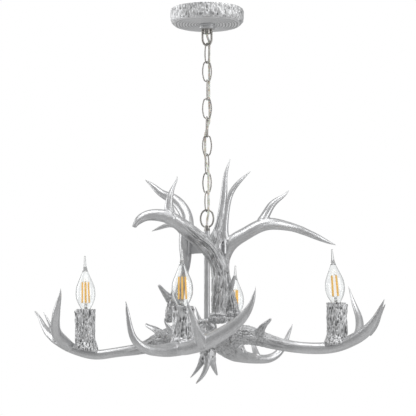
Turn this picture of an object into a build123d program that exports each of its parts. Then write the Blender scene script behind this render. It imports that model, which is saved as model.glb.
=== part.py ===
from build123d import *
import math
import os

# Antler chandelier, millimetres. The origin is the centre of the ceiling plane, +Z is up,
# +X is the viewer's right and the viewer stands on the -Y side.

# Canopy and its hardware
canopy_radius = 65.0
canopy_height = 27.0
canopy_wall = 4.0
canopy_edge_radius = 9.0
canopy_ribs = 26
canopy_rib_radius = 4.0
canopy_rib_stands = (0.6, 1.0, 0.3, 0.8, 0.4)
bar_length = 112.0
bar_width = 22.0
bar_thickness = 2.5
bar_slot_pitch = 84.0
bar_slot_length = 14.0
bar_slot_width = 5.0
bar_boss_radius = 9.0
bar_boss_height = 6.0
thread_radius = 4.9
thread_bore_radius = 3.5
thread_clearance = 0.1
thread_top_z = -0.5
side_slot = (9.0, 17.0, 5.0)
collar_radius = 14.8
collar_height = 8.0
collar_edge_radius = 2.5
loop_boss_radius = 6.5
loop_boss_height = 8.0
loop_wire_radius = 1.9
loop_width = 20.0
loop_length = 27.5
loop_end_radius = 7.0
block_size = (20.0, 18.0, 12.0)
block_near_x = 13.0
block_socket_depth = 4.0
supply_turn_radius = 8.0
supply_height = 11.0

# Chain and cable
link_count = 9
link_pitch = 33.3
link_wire_radius = 1.2
link_width = 18.0
link_end_radius = 6.0
link_play = 0.3
link_yaws = (-62, 5, -88, 4, 80, -2, 66, -18, 62)
first_contact_z = -61.6
cable_radius = 2.0
cable_gap = 0.7
cable_stations = ((4.0, 4.5), (3.7, 4.2), (3.7, 4.2), (3.7, 4.2), (4.6, 3.9),
                  (-3.4, 4.4), (-3.4, 4.4), (2.5, -5.0), (2.5, -5.0), (2.5, -5.0))

# Lamp ring, tube, bracket and hub
ring_wire_radius = 1.6
ring_width = 27.0
ring_length = 34.0
ring_end_radius = 11.0
ring_yaw = -16.0
ring_boss_radius = 4.4
ring_boss_rise = 4.5
ring_shank_radius = 3.4
ring_shank_bore = 2.3
ring_shank_depth = 14.0
nut_width = 9.0
nut_height = 4.5
tube_radius = 5.1
tube_wall = 1.6
tube_top_z = -397.0
tube_foot_z = -616.0
cable_foot_z = -540.0
bracket_foot_z = -436.0
bracket_height = 17.0
bracket_thickness = 3.0
bracket_hub_radius = 8.5
lug_reach = 31.5
lug_width = 16.0
lug_top_z = -411.0
lug_angles = {"front": -90, "right": 30, "left": 150}
lug_screw_radius = 2.0
lug_screw_length = 16.0
lug_screw_drop = 4.0
lug_head_radius = 3.2
lug_head_height = 2.4
lug_seat_depth = 24.0
lug_seat_width = 34.0
lug_seat_room = 1.0
hub_radius = 16.5
hub_top_z = -552.0
hub_foot_z = -602.0
hub_edge_radius = 3.0
hub_boss_radius = 10.0
hub_boss_z = -578.0
arm_faces = {"left": (180, 20.0), "right": (0, 40.0), "front": (-90, 22.0), "back": (90, 24.0)}
stud_radius = 3.0
stud_depth = 18.0
stud_wall = 2.0
burr_thickness = 7.0
burr_lip = 2.8
burr_round = 2.0

# Candles: place, top of sleeve, foot of sleeve, tilt of the foot about Y, lean of the bulb
candles = {
    "left": ((-213.0, 6.0), -534.5, -606.0, 12.0, -1.5),
    "right": ((226.0, -7.0), -523.5, -595.0, -8.0, -4.0),
    "front": ((-39.4, -205.0), -537.0, -602.0, -16.0, -1.0),
    "back": ((52.0, 210.0), -538.5, -609.0, 0.0, 1.0),
}
sleeve_radius = 16.2
sleeve_rim_radius = 16.8
sleeve_rim_fall = 6.0
sleeve_flare = 22.0
sleeve_skirt = 20.0
sleeve_bore = 12.2
bark_strip = ((13.5, 66.0, 2.0), (14.6, 58.0, 3.8), (15.0, 44.0, 4.2), (14.7, 30.0, 4.0),
              (14.9, 18.0, 4.2), (16.0, 10.0, 3.7), (18.0, 5.5, 2.9), (20.4, 3.5, 1.7))
stub_turns = {"left": 200, "right": -15, "front": -20, "back": 110}
socket_radius = 11.0
socket_height = 46.0
socket_drop = 3.0
socket_bore = 7.4
socket_floor_gap = 0.4
pin_radius = 3.5
pin_depth = 6.0
cap_radius = 7.0
cap_height = 24.0
cap_tip = 2.0
cap_tip_radius = 4.0
glass_wall = 1.0
glass_profile = ((6.9, -2.2), (9.4, 2.5), (13.5, 10.0), (16.4, 18.0), (17.5, 27.5), (16.0, 39.5),
                 (11.5, 51.0), (8.0, 59.0), (4.8, 67.0), (2.8, 75.5), (1.9, 84.5), (1.4, 94.0))
glass_hollow = 9  # the profile's points up to here have a hollow behind them
filament_radius = 0.9
filament_ring = 6.2
filament_foot = 11.5
filament_length = 36.0
filament_count = 4
filament_turns = {"left": 0.0, "right": 45.0, "front": 4.0, "back": 25.0}
glass_stem_radius = 2.6
filament_plate = 0.8
filament_plate_radius = 7.9

# Distance between the circles that a limb is lofted through
limb_step = 13.0

# Every limb is a list of (x, y, z, radius) along its middle, from root to tip.
arm_limbs = {
    "left": {
        "beam": [(-20, 0, -576, 17.5), (-58, 4, -581, 17.5), (-88, 7, -593, 14.9),
                 (-112, 7, -602, 10.5), (-138, 6, -607, 8.9), (-166, 6, -611, 8.4),
                 (-194, 6, -614, 8.6), (-223, 9, -608, 8.9), (-247, 19, -598, 9.5),
                 (-268, 36, -586, 9.2), (-284, 56, -574, 7.2), (-295, 70, -560, 4.7),
                 (-304, 82, -545, 2.7), (-313, 90, -535, 0.8)],
        "brow": [(-77, 14, -585, 10.6), (-88, 26, -572, 6.2), (-99, 38, -566, 4.4),
                 (-109, 48, -560, 2.7)],
        "tall": [(-240, 12, -600, 8.6), (-255, -12, -586, 10.0), (-261, -38, -572, 8.6),
                 (-260, -56, -559, 7.5), (-257, -72, -544, 6.7), (-253, -84, -529, 4.9),
                 (-249, -94, -516, 2.7), (-247, -102, -503, 0.7)],
        "mid": [(-265, 26, -586, 7.1), (-274, 29, -569, 4.2), (-282, 32, -554, 2.5),
                (-291, 36, -538, 0.6)],
    },
    "right": {
        "beam": [(40, 0, -580, 17), (70, -4, -580, 16.6), (96, -6, -587, 12.8),
                 (124, -6, -595, 10.8), (157, -5, -601, 10.0), (194, -5, -603, 10.1),
                 (224, -9, -600, 10.1), (248, -22, -591, 10.4), (268, -38, -579, 10.5),
                 (282, -56, -564, 8.2), (292, -70, -545, 4.8), (298, -78, -530, 2.4),
                 (302, -84, -520, 0.6)],
        "brow": [(89, -12, -579, 9.0), (98, -30, -565, 5.2), (105, -42, -558, 3.4),
                 (110, -52, -553, 2.0)],
        "tall": [(243, -8, -594, 7.9), (260, 14, -586, 7.9), (270, 36, -572, 7.8),
                 (273, 56, -556, 7.2), (272, 72, -542, 6.1), (267, 86, -524, 4.5),
                 (262, 96, -505, 2.2), (258, 102, -489, 0.6)],
        "mid": [(277, -36, -577, 8.0), (288, -39, -565, 6.9), (296, -42, -550, 4.3),
                (302, -46, -538, 2.4), (307, -50, -527, 0.6)],
    },
    "front": {
        "beam": [(-4, -22, -580, 17.4), (-17, -75, -588, 17.0), (-32, -130, -595, 15.6),
                 (-43, -180, -602, 14.0), (-49, -212, -605, 12.6), (-62, -240, -608, 11.0),
                 (-79, -264, -609, 8.9), (-92, -280, -607, 8.3), (-104, -292, -601, 7.2),
                 (-113, -299, -591, 5.9), (-118, -304, -578, 4.8), (-121, -306, -564, 4.0),
                 (-123, -307, -551, 3.1), (-126, -308, -532, 0.6)],
        "brow": [(-40, -126, -594, 10.0), (-55, -134, -580, 6.3), (-64, -138, -569, 3.8),
                 (-71, -144, -558, 0.8)],
        "tall": [(-50, -226, -608, 9.6), (-27, -236, -604, 10.7), (-3, -246, -596, 12.4),
                 (21, -255, -584, 11.2), (42, -261, -570, 9.5), (57, -266, -556, 7.9),
                 (68, -269, -540, 5.2), (74, -270, -524, 2.8), (77, -271, -508, 0.6)],
        "mid": [(-8, -250, -598, 9.6), (-13, -264, -585, 7.9), (-18, -274, -570, 5.7),
                (-23, -282, -554, 3.9), (-28, -288, -541, 2.3), (-31, -292, -530, 0.6)],
    },
    "back": {
        "beam": [(6, 24, -583, 17), (24, 80, -594, 16.4), (40, 140, -605, 15.4),
                 (54, 200, -612, 14.2), (76, 236, -618, 11.0), (100, 256, -621, 8.7),
                 (118, 268, -620, 8.3), (132, 276, -614, 7.7), (144, 282, -602, 6.8),
                 (152, 286, -588, 5.2), (158, 289, -573, 3.7), (163, 290, -561, 2.1),
                 (166, 291, -553, 0.7)],
        "brow": [(40, 122, -603, 9.6), (61, 125, -588, 6.2), (72, 121, -578, 4.2),
                 (82, 116, -570, 2.4)],
        "tall": [(69, 222, -615, 9.2), (52, 240, -608, 9.9), (26, 256, -592, 8.6),
                 (2, 264, -571, 6.7), (-14, 268, -546, 4.2), (-24, 270, -519, 0.7)],
        "mid": [(96, 250, -618, 7.6), (92, 268, -603, 5.4), (88, 280, -586, 3.6),
                (86, 290, -566, 0.7)],
    },
}
upper_limbs = {
    "front": {
        "stem": [(19, -46, -557, 13.6), (20, -45, -544, 11.6), (21, -45, -527, 13.4),
                 (23, -45, -510, 15.2), (23, -44, -489, 15.0), (22, -43, -468, 14.6),
                 (17, -43, -451, 14.2), (7, -46, -435, 14.7), (-6, -50, -422, 14.2),
                 (-17, -54, -413, 13.1), (-34, -61, -400, 12.6), (-52, -70, -387, 11.9),
                 (-70, -79, -379, 11.0), (-87, -87, -377, 10.2), (-102, -94, -379, 8.9),
                 (-114, -100, -386, 7.2), (-121, -104, -393, 5.6), (-123, -106, -399, 4.4)],
        "tine_a": [(9, -46, -427, 12.1), (16, -45, -409, 9.1), (21, -43, -392, 7.1),
                   (26, -39, -364, 6.3), (30, -35, -330, 5.8), (33, -31, -299, 3.4),
                   (37, -28, -284, 1.9), (41, -25, -271, 0.6)],
        "tine_c": [(-63, -74, -378, 10.4), (-65, -73, -364, 8.0), (-63, -70, -342, 5.4),
                   (-59, -67, -329, 3.4), (-54, -64, -318, 1.9), (-52, -62, -307, 0.6)],
        "brow": [(31, -44, -511, 6.9), (41, -48, -499, 4.7), (45, -52, -488, 3.4),
                 (48, -55, -478, 1.6)],
    },
    "right": {
        "stem": [(44, 34, -547, 13.3), (42, 32, -525, 12.4), (35, 29, -496, 10.6),
                 (30, 28, -470, 10.1), (29, 28, -450, 10.6), (33, 28, -433, 12.1),
                 (43, 29, -417, 12.4), (55, 31, -407, 12.1), (70, 34, -398, 11.6),
                 (91, 39, -386, 11.6), (112, 46, -380, 11.1), (133, 54, -381, 9.5),
                 (155, 62, -385, 7.7), (179, 68, -393, 6.7), (203, 74, -403, 5.4),
                 (220, 80, -410, 3.1), (234, 84, -415, 0.7)],
        "tine_a": [(34, 28, -422, 10.7), (31, 29, -400, 7.8), (32, 30, -377, 6.6),
                   (36, 32, -349, 5.7), (44, 34, -324, 4.8), (57, 36, -306, 3.9),
                   (68, 38, -295, 2.2), (79, 40, -285, 0.6)],
        "tine_c": [(97, 42, -379, 8.9), (108, 46, -359, 7.7), (118, 48, -344, 6.3),
                   (129, 50, -335, 4.5), (139, 52, -328, 2.7), (147, 54, -318, 0.6)],
        "brow": [(38, 31, -511, 6.9), (29, 40, -499, 4.9), (24, 48, -489, 3.5),
                 (20, 55, -479, 1.8)],
    },
    "left": {
        "stem": [(-57, 34, -556, 16.4), (-57, 30, -539, 16.2), (-53, 26, -512, 13.3),
                 (-45, 23, -487, 8.9), (-40, 21, -466, 7.6), (-38, 21, -448, 9.4),
                 (-38, 22, -433, 11.0), (-40, 23, -418, 9.8), (-37, 27, -398, 12.0),
                 (-35, 33, -381, 11.4), (-40, 42, -360, 11.1), (-52, 52, -342, 10.5),
                 (-66, 60, -331, 9.0), (-80, 67, -324, 7.3), (-97, 74, -309, 4.9),
                 (-113, 80, -296, 0.7)],
        "tine_l": [(-39, 29, -396, 9.8), (-56, 40, -383, 6.3), (-70, 49, -382, 4.3),
                   (-84, 56, -386, 3.4), (-100, 62, -392, 0.7)],
        "brow": [(-61, 27, -521, 8.9), (-71, 25, -510, 5.9), (-79, 23, -500, 4.4),
                 (-86, 21, -491, 2.1)],
    },
}
finial_limbs = {
    "body": [(2, 0, -604, 13.0), (2, 0, -611, 14.0), (2, -1, -619, 12.5)],
    "left": [(-1, 0, -612, 9.6), (-7, -4, -623, 6.1), (-14, -8, -635, 4.0),
             (-21, -11, -645, 2.4), (-29, -14, -654, 0.8)],
    "front": [(2, -5, -612, 9.6), (1, -12, -625, 6.1), (-3, -16, -641, 4.3),
              (-9, -20, -652, 3.5), (-19, -24, -664, 1.0)],
    "right": [(5, 4, -612, 9.6), (9, 8, -625, 6.1), (12, 9, -635, 4.9), (18, 12, -650, 1.4)],
}

nodes = {}


def bar_between(start, end, radius):
    """A round bar from start to end."""
    along = Vector(*end) - Vector(*start)
    return extrude(Plane(origin=start, z_dir=along) * Circle(radius), along.length)


def upright(radius, low, high, x=0.0, y=0.0):
    """A vertical round bar between two heights."""
    return bar_between((x, y, low), (x, y, high), radius)


def outward(angle, distance, z):
    """The point at a distance from the centre line, in the direction of an angle."""
    turn = math.radians(angle)
    return (distance * math.cos(turn), distance * math.sin(turn), z)


def limb(points, facing=None):
    """A tapering limb lofted through evenly spaced circles that stand square to its line."""
    centres = [Vector(*point[:3]) for point in points]
    radii = [point[3] for point in points]
    chords = [(end - start).length for start, end in zip(centres, centres[1:])]
    start_way = facing or centres[1] - centres[0]
    line = Spline(*centres, tangents=(start_way, centres[-1] - centres[-2]))
    count = max(4, round(line.length / limb_step))
    across = Vector(0.3, 1, 0.2)
    sections = []
    for i in range(count + 1):
        travelled = sum(chords) * i / count
        k = 0
        while k < len(chords) - 1 and travelled > chords[k]:
            travelled -= chords[k]
            k += 1
        radius = radii[k] + (radii[k + 1] - radii[k]) * min(travelled / chords[k], 1)
        along = line % (i / count)
        across = (across - along * across.dot(along)).normalized()
        plane = Plane(origin=line @ (i / count), x_dir=across, z_dir=along)
        sections.append(plane * Circle(radius))
    return loft(sections)


def burr(centre, facing, radius):
    """The thick rounded rim at the root of an antler."""
    disc = extrude(Plane(origin=centre, z_dir=facing) * Circle(radius + burr_lip), burr_thickness)
    return fillet(disc.edges(), burr_round)


def bent_wire(edges, wire_radius):
    """Round wire along tangent edges."""
    path = Wire(edges)
    profile = Plane(origin=path @ 0, z_dir=path % 0) * Circle(wire_radius)
    return sweep(profile, path=path)


def oval(length, width, end_radius, wire_radius):
    """An oval's middle line: half height, half width, side radius, and where the arcs meet."""
    high = length / 2 - wire_radius
    wide = width / 2 - wire_radius
    rise = high - end_radius
    side_radius = (wide**2 + rise**2 - end_radius**2) / (2 * (wide - end_radius))
    lean = math.atan2(rise, side_radius - wide)
    joint = (end_radius * math.cos(lean), rise + end_radius * math.sin(lean))
    return high, wide, side_radius, lean, joint


def oval_ring(length, width, end_radius, wire_radius):
    """A closed ring of round wire: four tangent arcs in the XZ plane, length along Z."""
    high, wide, _, _, (joint_x, joint_z) = oval(length, width, end_radius, wire_radius)
    corners = [(joint_x, 0, joint_z), (-joint_x, 0, joint_z),
               (-joint_x, 0, -joint_z), (joint_x, 0, -joint_z)]
    middles = [(0, 0, high), (-wide, 0, 0), (0, 0, -high), (wide, 0, 0)]
    arcs = [ThreePointArc(corners[i], middles[i], corners[(i + 1) % 4]) for i in range(4)]
    return bent_wire(arcs, wire_radius)


def hanging_loop(length, width, end_radius, wire_radius, leg_top):
    """The lower half of an oval ring, whose legs go straight up to leg_top."""
    high, wide, side_radius, lean, joint = oval(length, width, end_radius, wire_radius)
    joint_x, joint_z = joint
    middle_x = side_radius * (math.cos(lean / 2) - 1) + wide
    middle_z = side_radius * math.sin(lean / 2)
    edges = [Line((-wide, 0, leg_top), (-wide, 0, 0)),
             ThreePointArc((-wide, 0, 0), (-middle_x, 0, -middle_z), (-joint_x, 0, -joint_z)),
             ThreePointArc((-joint_x, 0, -joint_z), (0, 0, -high), (joint_x, 0, -joint_z)),
             ThreePointArc((joint_x, 0, -joint_z), (middle_x, 0, -middle_z), (wide, 0, 0)),
             Line((wide, 0, 0), (wide, 0, leg_top))]
    return bent_wire(edges, wire_radius)


def cable_route(stations):
    """Straight ends and pairs of tangent arcs that step the cable from place to place."""
    edges = []
    for start, end in zip(stations, stations[1:]):
        low, high = Vector(*end), Vector(*start)
        shift = Vector(low.X - high.X, low.Y - high.Y, 0)
        drop = high.Z - low.Z
        if shift.length < 0.05:
            edges.append(Line(high, low))
            continue
        turn = 2 * math.atan(shift.length / drop)
        radius = drop / (2 * math.sin(turn))
        middle = (high + low) / 2
        inward = shift.normalized()
        bend = inward * radius * (1 - math.cos(turn / 2))
        bend += Vector(0, 0, -radius * math.sin(turn / 2))
        edges.append(ThreePointArc(high, high + bend, middle))
        edges.append(ThreePointArc(middle, low - bend, low))
    return Wire(edges)


def cable_along(path):
    """A length of round cable along its route, checked against section times length."""
    profile = Plane(origin=path @ 0, z_dir=path % 0) * Circle(cable_radius)
    solid = sweep(profile, path=path)
    expected = math.pi * cable_radius**2 * path.length
    print("cable", round(path.length, 1), "mm, volume over section x length",
          round(solid.volume / expected, 4))
    return solid


def contact_z(i):
    """The height at which link i + 1 hangs on the one above it."""
    return first_contact_z - i * link_pitch


def antler(limbs, facing):
    """An antler with its burr, whose limbs grow out of one another."""
    main, *others = limbs.values()
    root = Vector(*main[0][:3])
    inner_root = root + facing * burr_lip
    solid = limb([(*inner_root, main[0][3]), *main[1:]], facing)
    solid += burr(root, facing, main[0][3])
    for points in others:
        solid += limb(points)
    return solid


# ---- Canopy group ------------------------------------------------------------------
thread_hole = upright(thread_radius + thread_clearance, -3 * canopy_height, canopy_height)
strap = Pos(0, 0, -bar_thickness / 2) * Box(bar_length, bar_width, bar_thickness)
strap += upright(bar_boss_radius, -bar_thickness - bar_boss_height, -bar_thickness)
for side in (-1, 1):
    slot = SlotOverall(bar_slot_length, bar_slot_width)
    strap -= extrude(Pos(side * bar_slot_pitch / 2, 0, -2 * bar_thickness) * slot, 3 * bar_thickness)
nodes["ceiling_bar"] = strap - thread_hole

drum = upright(canopy_radius, -canopy_height, 0)
drum = fillet(drum.edges().group_by(Axis.Z)[0], canopy_edge_radius)
for i in range(canopy_ribs):
    stand = canopy_rib_stands[i % len(canopy_rib_stands)]
    place = outward(360 * i / canopy_ribs, canopy_radius - canopy_rib_radius + stand, 0)
    drum += upright(canopy_rib_radius, canopy_edge_radius - canopy_height, 0, place[0], place[1])
inside = upright(canopy_radius - canopy_wall, canopy_wall - canopy_height, canopy_height)
inside = fillet(inside.edges().group_by(Axis.Z)[0], canopy_edge_radius - canopy_wall)
nodes["canopy"] = drum - inside - thread_hole

collar_foot = -canopy_height - collar_height
collar = upright(collar_radius, collar_foot, -canopy_height)
collar = fillet(collar.edges().group_by(Axis.Z)[0], collar_edge_radius)
nodes["canopy_collar"] = collar - thread_hole

loop_boss_foot = collar_foot - loop_boss_height
loop_foot_z = first_contact_z - link_play / 2 - 2 * loop_wire_radius
loop_centre_z = loop_foot_z + loop_length / 2
hanger = upright(thread_radius, collar_foot, thread_top_z)
hanger += upright(loop_boss_radius, loop_boss_foot, collar_foot)
leg_top = collar_foot - loop_centre_z
eye = hanging_loop(loop_length, loop_width, loop_end_radius, loop_wire_radius, leg_top)
hanger += Pos(0, 0, loop_centre_z) * eye
hanger -= upright(thread_bore_radius, loop_centre_z, 0)
slot_high, slot_low, slot_width = side_slot
slot_middle = Pos(thread_radius, 0, -(slot_high + slot_low) / 2)
hanger -= slot_middle * Box(2 * thread_radius, slot_width, slot_low - slot_high)
nodes["canopy_loop"] = hanger

block_deep, _, block_high = block_size
block = Pos(block_near_x + block_deep / 2, 0, -bar_thickness - block_high / 2) * Box(*block_size)
socket_end = (block_near_x + block_socket_depth, 0, -supply_height)
block -= bar_between((block_near_x, 0, -supply_height), socket_end, cable_radius)
nodes["terminal_block"] = block


# ---- Chain and cable ---------------------------------------------------------------
def station(i, rise):
    """The cable's place beside contact i, a little above or below it."""
    return (*cable_stations[i], contact_z(i) + rise)


turn_top_z = -supply_height - supply_turn_radius
supply_path = cable_route([(0, 0, turn_top_z), (0, 0, loop_boss_foot), station(0, cable_gap)])
turn_middle = Vector(supply_turn_radius, 0, turn_top_z)
turn_middle += Vector(-math.sqrt(0.5), 0, math.sqrt(0.5)) * supply_turn_radius
supply_turn = ThreePointArc((supply_turn_radius, 0, -supply_height), turn_middle, (0, 0, turn_top_z))
supply_lead = Line(socket_end, (supply_turn_radius, 0, -supply_height))
supply = cable_along(Wire([supply_lead, supply_turn, *supply_path.edges()]))
nodes["supply_cable"] = supply

link_length = link_pitch + link_play + 4 * link_wire_radius
for i in range(link_count):
    middle_z = (contact_z(i) + contact_z(i + 1)) / 2
    link = oval_ring(link_length, link_width, link_end_radius, link_wire_radius)
    nodes[f"chain_link_{i + 1}"] = Pos(0, 0, middle_z) * Rot(0, 0, link_yaws[i]) * link
    stretch = cable_route([station(i, -cable_gap), station(i + 1, cable_gap)])
    nodes[f"chain_cable_{i + 1}"] = cable_along(stretch)

# ---- Lamp ring, tube and bracket -----------------------------------------------------
ring_top_z = contact_z(link_count) + link_play / 2 + 2 * ring_wire_radius
ring_foot_z = ring_top_z - ring_length
shank_foot = tube_top_z - ring_shank_depth
lamp_ring = oval_ring(ring_length, ring_width, ring_end_radius, ring_wire_radius)
lamp_ring = Pos(0, 0, ring_top_z - ring_length / 2) * Rot(0, 0, ring_yaw) * lamp_ring
boss_foot = tube_top_z + nut_height
lamp_ring += upright(ring_boss_radius, boss_foot, ring_foot_z + ring_boss_rise)
lamp_ring += upright(ring_shank_radius, shank_foot, boss_foot)
lamp_ring -= upright(ring_shank_bore, shank_foot, ring_foot_z + 2 * ring_boss_rise)
nodes["lamp_ring"] = lamp_ring

hexagon = RegularPolygon(nut_width / 2, 6, major_radius=False)
nut = extrude(Pos(0, 0, tube_top_z) * hexagon, nut_height)
nut -= upright(ring_shank_radius + thread_clearance, tube_top_z, boss_foot)
nodes["ring_nut"] = nut

tube = upright(tube_radius, tube_foot_z, tube_top_z)
tube -= upright(tube_radius - tube_wall, tube_foot_z, tube_top_z)
nodes["centre_tube"] = tube
tube_space = upright(tube_radius, tube_foot_z, tube_top_z)

lamp_lead = [station(link_count, -cable_gap), (0, 0, ring_foot_z + 2 * ring_boss_rise),
             (0, 0, cable_foot_z)]
nodes["lamp_cable"] = cable_along(cable_route(lamp_lead))

bracket_top_z = bracket_foot_z + bracket_height
bracket = upright(bracket_hub_radius, bracket_foot_z, bracket_top_z)
lug_height = lug_top_z - bracket_foot_z
lug_middle_z = (lug_top_z + bracket_foot_z) / 2
screws = []
seats = {}
for name, angle in lug_angles.items():
    lug_turn = Rot(0, 0, angle)
    web = Box(lug_reach, bracket_thickness, bracket_height)
    bracket += lug_turn * Pos(lug_reach / 2, 0, (bracket_foot_z + bracket_top_z) / 2) * web
    lug = Box(bracket_thickness, lug_width, lug_height)
    bracket += lug_turn * Pos(lug_reach + bracket_thickness / 2, 0, lug_middle_z) * lug
    seat_room = Box(lug_seat_depth, lug_seat_width, lug_height + 2 * lug_seat_room)
    seat_x = lug_reach + bracket_thickness - lug_seat_depth / 2
    seats[name] = lug_turn * Pos(seat_x, 0, lug_middle_z) * seat_room
    screw_z = lug_top_z - lug_screw_drop
    head_start = outward(angle, lug_reach - lug_head_height, screw_z)
    shank_start = outward(angle, lug_reach, screw_z)
    shank_end = outward(angle, lug_reach + lug_screw_length, screw_z)
    screw_shank = bar_between(shank_start, shank_end, lug_screw_radius)
    bracket -= screw_shank
    seats[name] += screw_shank
    screws.append(bar_between(head_start, shank_start, lug_head_radius) + screw_shank)
nodes["upper_bracket"] = bracket - tube_space
nodes["lug_screws"] = Compound(children=screws)

# ---- Upper antlers -------------------------------------------------------------------
for name, limbs in upper_limbs.items():
    nodes[f"upper_antler_{name}"] = antler(limbs, Vector(0, 0, 1)) - seats[name]

# ---- Hub and its studs ---------------------------------------------------------------
hub = upright(hub_radius, hub_foot_z, hub_top_z)
hub = fillet(hub.edges(), hub_edge_radius)
studs = []
for angle, reach in arm_faces.values():
    boss_end = outward(angle, reach, hub_boss_z)
    hub += bar_between((0, 0, hub_boss_z), boss_end, hub_boss_radius)
    stud_start = outward(angle, tube_radius + stud_wall, hub_boss_z)
    stud_end = outward(angle, reach + stud_depth, hub_boss_z)
    studs.append(bar_between(stud_start, stud_end, stud_radius))
nodes["hub"] = hub - tube_space - studs[0] - studs[1] - studs[2] - studs[3]
nodes["hub_studs"] = Compound(children=studs)


# ---- Candles -------------------------------------------------------------------------
def candle_axis(name):
    """The frame at the middle of a sleeve's rim, leaned as its bulb leans."""
    (x, y), rim_z, _, _, lean = candles[name]
    return Pos(x, y, rim_z) * Rot(0, lean, 0)


def lampholder(name):
    """The lampholder with its pin, closed at the foot and open for the bulb's cap."""
    rim_z, foot_z = candles[name][1:3]
    body = upright(socket_radius, -socket_height, -socket_drop)
    body += upright(pin_radius, foot_z - pin_depth - rim_z, -socket_height)
    mouth = upright(socket_bore, glass_profile[0][1] - cap_height - socket_floor_gap, 0)
    return candle_axis(name) * (body - mouth), candle_axis(name) * body


def sleeve(name, holder, arm):
    """The bark candle sleeve: a flared skirt over the beam and a curled strip of bark."""
    (x, y), rim_z, foot_z, foot_tilt, _ = candles[name]
    low = foot_z - sleeve_flare
    with BuildPart() as turned:
        with BuildSketch(Plane.XZ):
            with BuildLine():
                rim = (sleeve_rim_radius, rim_z)
                waist = (sleeve_radius, rim_z - sleeve_rim_fall)
                knee = (sleeve_radius, foot_z + sleeve_skirt)
                hem = (sleeve_flare, foot_z)
                Line((0, rim_z), rim)
                Line(rim, waist)
                Line(waist, knee)
                Spline(knee, hem, tangents=((0, -1), (0.2, -1)))
                Polyline(hem, (sleeve_flare, low), (0, low), (0, rim_z))
            make_face()
        revolve(axis=Axis.Z)
    body = Pos(x, y, 0) * turned.part
    turn = stub_turns[name]
    bark = []
    for distance, drop, radius in bark_strip:
        place = outward(turn, distance, rim_z - drop)
        bark.append((x + place[0], y + place[1], place[2], radius))
    body += limb(bark, Vector(0, 0, 1))
    hem_room = Box(6 * sleeve_flare, 6 * sleeve_flare, 4 * sleeve_flare)
    body -= Pos(x, y, foot_z) * Rot(0, foot_tilt, 0) * Pos(0, 0, -2 * sleeve_flare) * hem_room
    bore = candle_axis(name) * upright(sleeve_bore, -socket_height, socket_height)
    return body - bore - holder - arm


def bulb(name):
    """A clear candle bulb: glass shell, screw cap, and a stem with four filaments."""
    with BuildPart() as glass:
        with BuildSketch(Plane.XZ):
            with BuildLine():
                Spline(*glass_profile)
                Line(glass_profile[-1], (0, glass_profile[-1][1]))
                Line((0, glass_profile[-1][1]), (0, glass_profile[0][1]))
                Line((0, glass_profile[0][1]), glass_profile[0])
            make_face()
        revolve(axis=Axis.Z)
        with BuildSketch(Plane.XZ):
            with BuildLine():
                inner = [(radius - glass_wall, height) for radius, height in glass_profile[:glass_hollow]]
                Spline(*inner)
                Polyline(inner[-1], (0, inner[-1][1]), (0, inner[0][1]), inner[0])
            make_face()
        revolve(axis=Axis.Z, mode=Mode.SUBTRACT)
    cap_top = glass_profile[0][1]
    cap = upright(cap_radius, cap_top - cap_height + cap_tip, cap_top)
    cap += upright(cap_tip_radius, cap_top - cap_height, cap_top)
    stem = upright(glass_stem_radius, cap_top, filament_foot)
    stem += upright(filament_plate_radius, filament_foot - filament_plate, filament_foot)
    for i in range(filament_count):
        x, y, _ = outward(filament_turns[name] + 90 * i, filament_ring, 0)
        stem += upright(filament_radius, filament_foot, filament_foot + filament_length, x, y)
    head = filament_foot + filament_length
    stem += upright(filament_plate_radius, head, head + filament_plate)
    place = candle_axis(name)
    return place * glass.part, place * cap, place * stem


for name, limbs in arm_limbs.items():
    angle, reach = arm_faces[name]
    arm = antler(limbs, Vector(*outward(angle, 1, 0)))
    holder, holder_room = lampholder(name)
    arm -= holder_room
    for stud in studs:
        arm -= stud
    nodes[f"arm_{name}"] = arm
    nodes[f"lamp_socket_{name}"] = holder
    nodes[f"candle_sleeve_{name}"] = sleeve(name, holder_room, arm)
    glass, cap, stem = bulb(name)
    nodes[f"bulb_{name}_glass"] = glass
    nodes[f"bulb_{name}_cap"] = cap
    nodes[f"bulb_{name}_filaments"] = stem

# ---- Finial ----------------------------------------------------------------------------
finial = limb(finial_limbs["body"], Vector(0, 0, -1))
for name in ("left", "front", "right"):
    finial += limb(finial_limbs[name])
finial -= Pos(0, 0, hub_foot_z + hub_radius) * Box(4 * hub_radius, 4 * hub_radius, 2 * hub_radius)
nodes["finial"] = finial - tube_space

os.makedirs("parts", exist_ok=True)
for name, solid in nodes.items():
    export_step(solid, f"parts/{name}.step")
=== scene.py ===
import math

import bpy
import numpy as np
from mathutils import Matrix, Vector


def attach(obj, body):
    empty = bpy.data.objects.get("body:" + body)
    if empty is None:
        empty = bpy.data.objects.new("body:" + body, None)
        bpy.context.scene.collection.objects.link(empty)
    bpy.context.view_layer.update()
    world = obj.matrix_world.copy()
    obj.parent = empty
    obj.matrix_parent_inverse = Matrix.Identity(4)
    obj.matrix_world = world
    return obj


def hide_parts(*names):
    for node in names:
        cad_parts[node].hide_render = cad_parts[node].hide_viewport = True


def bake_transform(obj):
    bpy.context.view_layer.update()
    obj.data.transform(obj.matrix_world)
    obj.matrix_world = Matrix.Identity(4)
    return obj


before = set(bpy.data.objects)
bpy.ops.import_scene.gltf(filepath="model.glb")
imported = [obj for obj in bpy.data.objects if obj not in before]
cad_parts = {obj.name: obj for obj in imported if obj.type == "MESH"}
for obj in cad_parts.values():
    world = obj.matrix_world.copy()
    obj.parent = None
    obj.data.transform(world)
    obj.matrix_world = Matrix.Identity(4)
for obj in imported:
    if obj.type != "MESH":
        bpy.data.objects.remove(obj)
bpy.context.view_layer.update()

mm = 0.001

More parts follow.
